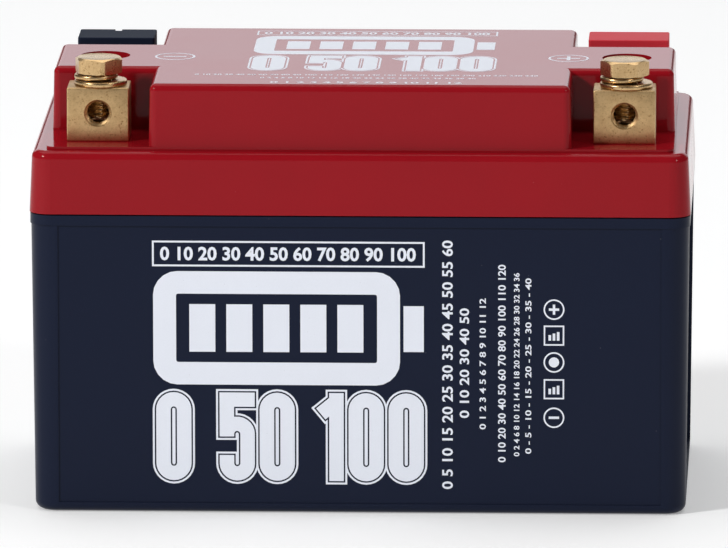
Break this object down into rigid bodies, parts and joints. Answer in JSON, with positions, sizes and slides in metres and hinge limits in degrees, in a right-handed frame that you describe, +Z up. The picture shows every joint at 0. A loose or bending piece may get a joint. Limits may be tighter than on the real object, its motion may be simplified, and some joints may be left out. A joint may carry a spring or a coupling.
{
  "type": "motorcycle battery",
  "caption": "Rectangular motorcycle battery with a flush rimmed lid, raised cross-shaped top, corner terminal blocks with screws and two terminal covers.",
  "frame": {"origin": "centre of the base, on the surface the battery stands on", "axes": "+X along the length to the right, +Y to the back, +Z up; the screws are at the front, -Y"},
  "size_m": [0.15, 0.087, 0.1024],
  "materials": {
    "navy_plastic": "fine grained dark navy moulded plastic",
    "red_plastic": "glossy deep red moulded plastic",
    "bright_red_plastic": "satin bright red plastic",
    "black_plastic": "satin blue-black plastic",
    "brass": "satin cast and machined brass",
    "bright_brass": "bright turned brass",
    "zinc_steel": "bright zinc-plated steel",
    "copper": "rolled copper",
    "black_rubber": "matte",
    "foam": "closed-cell foam",
    "cell_can": "aluminium can in a blue film sleeve",
    "cell_pole": "turned aluminium",
    "sheet": "insulating sheet",
    "wire_sleeve": "silicone wire sleeve",
    "circuit_board": "green solder mask",
    "chip_plastic": "moulded epoxy",
    "white_plastic": "nylon connector"
  },
  "bodies": {
    "housing": {"case": "navy_plastic", "lid": "red_plastic", "lid_seal": "black_rubber", "terminal_front_left": "brass", "leg_seal_front_left": "black_rubber", "terminal_rear_left": "brass", "leg_seal_rear_left": "black_rubber", "link_bar_left": "copper", "power_strap_left": "copper", "end_pad_left": "foam", "terminal_front_right": "brass", "leg_seal_front_right": "black_rubber", "terminal_rear_right": "brass", "leg_seal_rear_right": "black_rubber", "link_bar_right": "copper", "power_strap_right": "copper", "end_pad_right": "foam", "base_pad": "foam", "cell_1": "cell_can", "pole_front_1": "cell_pole", "pole_rear_1": "cell_pole", "cell_2": "cell_can", "pole_front_2": "cell_pole", "pole_rear_2": "cell_pole", "cell_3": "cell_can", "pole_front_3": "cell_pole", "pole_rear_3": "cell_pole", "cell_4": "cell_can", "pole_front_4": "cell_pole", "pole_rear_4": "cell_pole", "busbar_1": "copper", "spacer_1": "sheet", "sense_wire_1": "wire_sleeve", "busbar_2": "copper", "spacer_2": "sheet", "sense_wire_2": "wire_sleeve", "busbar_3": "copper", "spacer_3": "sheet", "sense_wire_3": "wire_sleeve", "board": "circuit_board", "shunt": "cell_pole", "control_chip": "chip_plastic", "connector": "white_plastic", "switch_1": "chip_plastic", "board_screw_1": "zinc_steel", "switch_2": "chip_plastic", "board_screw_2": "zinc_steel", "switch_3": "chip_plastic", "board_screw_3": "zinc_steel", "switch_4": "chip_plastic", "board_screw_4": "zinc_steel"},
    "washers_left": {"flat_washer_left": "bright_brass", "spring_washer_left": "bright_brass"},
    "screw_left": {"screw_left": "bright_brass"},
    "cover_left": {"cover_left": "black_plastic"},
    "washers_right": {"flat_washer_right": "bright_brass", "spring_washer_right": "bright_brass"},
    "screw_right": {"screw_right": "bright_brass"},
    "cover_right": {"cover_right": "bright_red_plastic"}
  },
  "joints": [
    {"name": "screw_left_lift", "type": "slide", "parent": "housing", "child": "washers_left", "axis": [0, 0, 1], "range_m": [0, 0.01]},
    {"name": "screw_left_turn", "type": "hinge", "parent": "washers_left", "child": "screw_left", "pos_m": [-0.05972, -0.02745, 0.09885], "axis": [0, 0, 1], "range_deg": [0, 3600]},
    {"name": "cover_left_lift", "type": "slide", "parent": "housing", "child": "cover_left", "axis": [0, 0, 1], "range_m": [0, 0.02]},
    {"name": "screw_right_lift", "type": "slide", "parent": "housing", "child": "washers_right", "axis": [0, 0, 1], "range_m": [0, 0.01]},
    {"name": "screw_right_turn", "type": "hinge", "parent": "washers_right", "child": "screw_right", "pos_m": [0.05972, -0.02745, 0.09885], "axis": [0, 0, 1], "range_deg": [0, 3600]},
    {"name": "cover_right_lift", "type": "slide", "parent": "housing", "child": "cover_right", "axis": [0, 0, 1], "range_m": [0, 0.02]}
  ],
  "couplings": [
    {"joint": "screw_left_lift", "follows": "screw_left_turn", "m_per_rad": 0.00015915},
    {"joint": "screw_right_lift", "follows": "screw_right_turn", "m_per_rad": 0.00015915}
  ]
}
